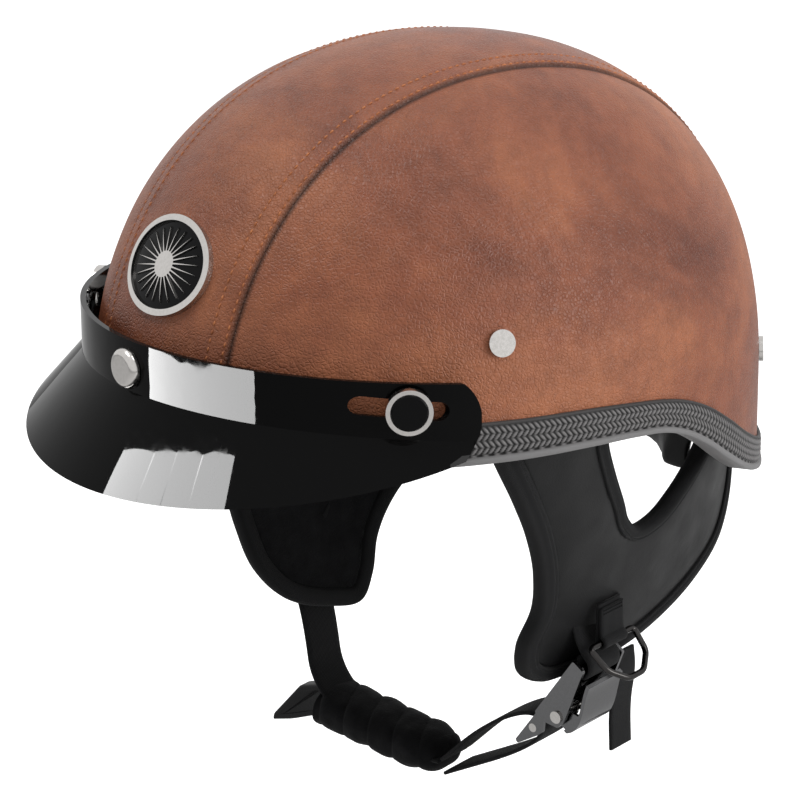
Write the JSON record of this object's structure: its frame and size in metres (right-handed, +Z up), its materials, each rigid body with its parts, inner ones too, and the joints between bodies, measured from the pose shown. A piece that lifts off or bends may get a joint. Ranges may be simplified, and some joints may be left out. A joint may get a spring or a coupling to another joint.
{
  "type": "half shell motorcycle helmet",
  "caption": "Open half helmet covered in stitched brown leather, with a black peak, padded ear flaps and a padded chin strap with a lever buckle.",
  "frame": {"origin": "centre of the dome at its widest level, inside the head hollow", "axes": "+Z up through the crown, -Y towards the front with the peak, +X the wearer's left"},
  "size_m": [0.2346, 0.3091, 0.3079],
  "materials": {
    "shell_black": "moulded hard shell",
    "brown_leather": "mottled brown leather, satin",
    "trim_rubber": "black rubber with a herringbone face",
    "liner_foam": "black moulded foam",
    "lining_cloth": "black lining cloth",
    "black_leather": "smooth black leathercloth",
    "visor_gloss": "gloss black",
    "nickel": "polished nickel",
    "cap_black": "gloss black cap face",
    "badge_black": "black enamel",
    "webbing_black": "black woven webbing",
    "pad_cloth": "soft black knitted sleeve",
    "binding_rib": "ribbed black binding",
    "gunmetal": "dark polished gunmetal",
    "ring_black": "black nickel wire"
  },
  "bodies": {
    "root": {"shell": "shell_black", "leather_centre": "brown_leather", "leather_left": "brown_leather", "leather_right": "brown_leather", "edge_trim": "trim_rubber", "foam_liner": "liner_foam", "pad_crown": "lining_cloth", "pad_front": "lining_cloth", "pad_back": "lining_cloth", "pad_left": "lining_cloth", "pad_right": "lining_cloth", "nape_pad": "black_leather", "front_snap_stud": "nickel", "side_posts": "nickel", "side_caps": "cap_black", "side_rings": "nickel", "strap_rivets": "nickel", "rivet_washers": "nickel", "badge_plate": "badge_black", "badge_frame": "nickel", "badge_rays": "nickel", "webbing_front_left": "webbing_black", "webbing_rear_left": "webbing_black", "webbing_front_right": "webbing_black", "webbing_rear_right": "webbing_black", "chin_webbing": "webbing_black", "chin_loop": "webbing_black", "buckle_webbing": "webbing_black", "webbing_tail": "webbing_black", "ring_keeper": "webbing_black", "chin_pad": "pad_cloth", "pad_tab": "black_leather", "ear_flap_left": "black_leather", "ear_flap_right": "black_leather", "flap_binding_left": "binding_rib", "flap_binding_right": "binding_rib", "buckle_frame": "gunmetal", "buckle_pin": "nickel", "latch": "gunmetal", "latch_bar": "nickel", "lever_spring": "nickel"},
    "visor_body": {"visor": "visor_gloss", "front_snap_cap": "nickel", "front_snap_socket": "nickel"},
    "lever_body": {"buckle_lever": "gunmetal"},
    "ring_body": {"d_ring": "ring_black"}
  },
  "joints": [
    {"name": "visor_pull", "type": "slide", "parent": "root", "child": "visor_body", "axis": [0, -1, 0], "range_m": [0, 0.0025]},
    {"name": "lever_hinge", "type": "hinge", "parent": "root", "child": "lever_body", "pos_m": [0.06754, 0.01871, -0.118], "axis": [-0.2045, 0.9789, 0], "range_deg": [0, 50], "stiffness_Nm_per_rad": 0.02},
    {"name": "ring_swing", "type": "hinge", "parent": "root", "child": "ring_body", "pos_m": [0.07945, 0.02528, -0.087], "axis": [0.2045, -0.9789, 0], "range_deg": [0, 60]}
  ]
}
